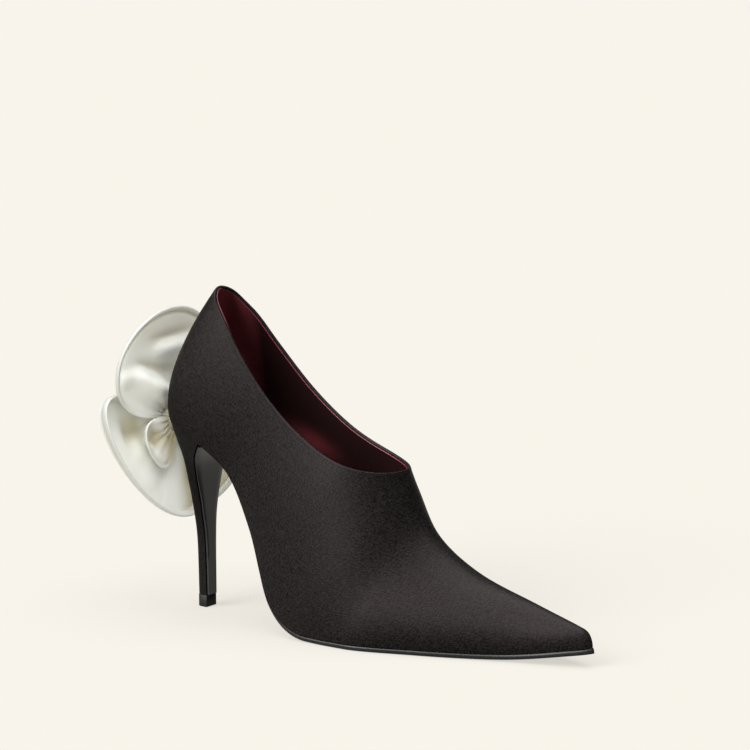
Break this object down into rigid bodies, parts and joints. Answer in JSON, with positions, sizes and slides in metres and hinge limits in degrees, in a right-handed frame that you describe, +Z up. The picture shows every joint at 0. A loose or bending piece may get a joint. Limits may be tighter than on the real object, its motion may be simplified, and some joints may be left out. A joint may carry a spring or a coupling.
{
  "type": "stiletto shoe",
  "caption": "Pointed satin stiletto, a right shoe, with a high-cut collar, slim covered heel, thin leather sole and a padded satin flower at the back of the heel.",
  "frame": {"origin": "on the floor, under the middle of the whole shoe's box", "axes": "+X towards the toe, +Y towards the inner side of the right foot, +Z up"},
  "size_m": [0.2584, 0.1078, 0.163],
  "materials": {
    "black_satin": "matte satin",
    "black_leather": "polished",
    "red_lining": "smooth",
    "black_rubber": "matte",
    "ivory_satin": "satin"
  },
  "bodies": {
    "root": {"upper": "black_satin", "insole": "red_lining", "outsole": "black_leather", "heel": "black_satin", "heel_breast": "black_leather", "top_lift": "black_rubber", "petal_top": "ivory_satin", "petal_outer": "ivory_satin", "petal_inner": "ivory_satin", "petal_small": "ivory_satin", "flower_knot": "ivory_satin"}
  },
  "joints": []
}
